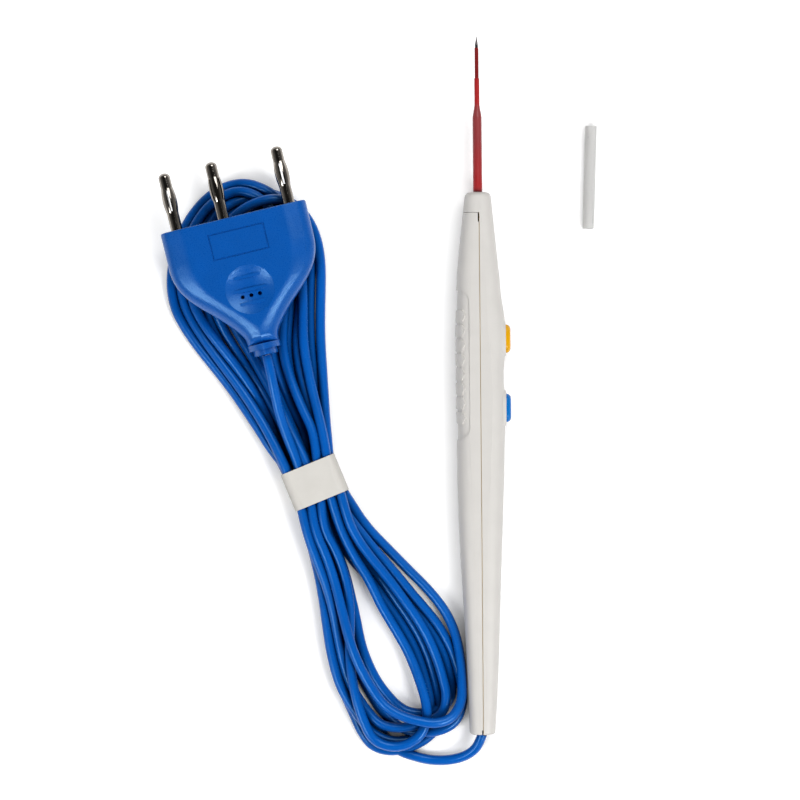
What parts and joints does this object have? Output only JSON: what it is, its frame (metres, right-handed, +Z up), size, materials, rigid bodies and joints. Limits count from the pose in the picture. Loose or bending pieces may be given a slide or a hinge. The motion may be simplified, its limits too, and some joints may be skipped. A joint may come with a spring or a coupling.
{
  "type": "electrosurgical pencil",
  "caption": "Hand-held electrosurgical pencil lying on its side, with cut and coag buttons, needle electrode, guard tube, banded cord hank and three-pin plug.",
  "frame": {"origin": "on the surface that the pencil lies on, under the handle's axis, on the flat side of the lower housing, level with the space between the two buttons", "axes": "+Y along the handle's axis towards the needle, +X towards the buttons, +Z up from the surface"},
  "size_m": [0.1456, 0.2431, 0.0186],
  "materials": {
    "housing_plastic": "fine matt moulded white",
    "cut_plastic": "satin moulded yellow",
    "coag_plastic": "satin moulded blue",
    "plug_plastic": "satin soft moulded blue",
    "cord_jacket": "satin flexible blue",
    "carrier_plastic": "matt rigid blue",
    "pin_metal": "bright nickel plate",
    "electrode_steel": "fine ground steel",
    "inner_insulation": "thin dark red coating",
    "outer_sleeve": "shrunk red sleeve",
    "collar_plastic": "matt moulded dark red",
    "socket_brass": "plain brass",
    "board_laminate": "green laminate",
    "dome_steel": "thin spring steel",
    "wire_insulation": "plain wire insulation",
    "anchor_plastic": "crimped ferrule",
    "guard_plastic": "translucent milky white",
    "band_paper": "white paper band"
  },
  "bodies": {
    "handle": {"housing_upper": "housing_plastic", "housing_lower": "housing_plastic", "switch_board": "board_laminate", "cut_dome": "dome_steel", "coag_dome": "dome_steel", "electrode_socket": "socket_brass", "needle_guard": "guard_plastic", "cord_jacket_inner": "cord_jacket", "cord_anchor": "anchor_plastic", "wire_active": "wire_insulation", "wire_cut": "wire_insulation", "wire_coag": "wire_insulation", "cord_lead_in": "cord_jacket", "cord_hank": "cord_jacket", "cord_lead_out": "cord_jacket", "cord_tie_band": "band_paper", "plug_body": "plug_plastic", "plug_pin_carrier": "carrier_plastic", "pin_active": "pin_metal", "pin_cut": "pin_metal", "pin_coag": "pin_metal"},
    "cut_key": {"cut_button": "cut_plastic"},
    "coag_key": {"coag_button": "coag_plastic"},
    "electrode": {"needle_electrode": "electrode_steel", "needle_insulation": "inner_insulation", "electrode_sleeve": "outer_sleeve", "hex_collar": "collar_plastic"}
  },
  "joints": [
    {"name": "cut_press", "type": "slide", "parent": "handle", "child": "cut_key", "axis": [-1, 0, 0], "range_m": [0, 0.0005], "stiffness_N_per_m": 3000, "springref_m": -0.0003, "deforming": ["cut_dome"]},
    {"name": "coag_press", "type": "slide", "parent": "handle", "child": "coag_key", "axis": [-1, 0, 0], "range_m": [0, 0.0005], "stiffness_N_per_m": 3000, "springref_m": -0.0003, "deforming": ["coag_dome"]},
    {"name": "electrode_pull", "type": "slide", "parent": "handle", "child": "electrode", "axis": [0, 1, 0], "range_m": [0, 0.03]}
  ]
}
